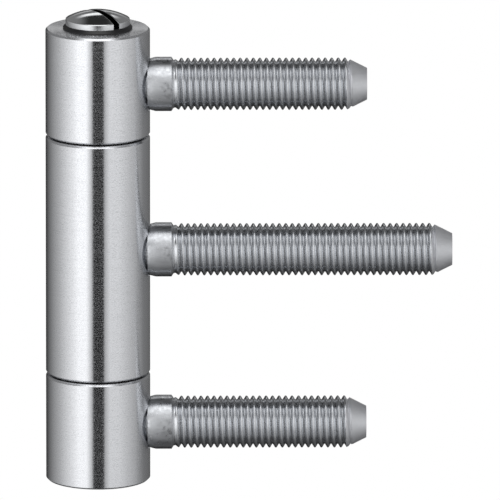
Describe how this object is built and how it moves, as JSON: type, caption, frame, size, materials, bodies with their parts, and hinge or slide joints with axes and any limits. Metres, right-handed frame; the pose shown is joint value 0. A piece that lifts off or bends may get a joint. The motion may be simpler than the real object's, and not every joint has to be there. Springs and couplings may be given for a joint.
{
  "type": "drill-in hinge",
  "caption": "Drill-in door hinge: a slim round barrel of knuckles on one slotted pin, each knuckle with a threaded stud that screws into the frame or the door leaf.",
  "frame": {"origin": "on the pivot axis, in the bottom face of the lower knuckle", "axes": "+Z along the pivot axis towards the slotted head, +X along the studs, +Y behind the hinge as the picture shows it"},
  "size_m": [0.0779, 0.02, 0.092],
  "materials": {
    "knuckle": "satin plated steel with fine brushing around the barrel",
    "stud": "plain zinc plated steel with a rolled thread",
    "pin": "polished plated steel",
    "washer": "black moulded plastic",
    "bush": "black bearing plastic"
  },
  "bodies": {
    "upper_frame_side": {"upper_knuckle": "knuckle", "upper_stud": "stud", "hinge_pin": "pin", "head_washer": "washer"},
    "leaf_side": {"middle_knuckle": "knuckle", "middle_stud": "stud", "upper_bush": "bush", "lower_bush": "bush"},
    "lower_frame_side": {"lower_knuckle": "knuckle", "lower_stud": "stud"}
  },
  "joints": [
    {"name": "leaf_swing", "type": "hinge", "parent": "upper_frame_side", "child": "leaf_side", "pos_m": [0, 0, 0.0443], "axis": [0, 0, 1], "continuous": true},
    {"name": "lower_knuckle_turn", "type": "hinge", "parent": "upper_frame_side", "child": "lower_frame_side", "pos_m": [0, 0, 0.01035], "axis": [0, 0, 1], "continuous": true}
  ]
}
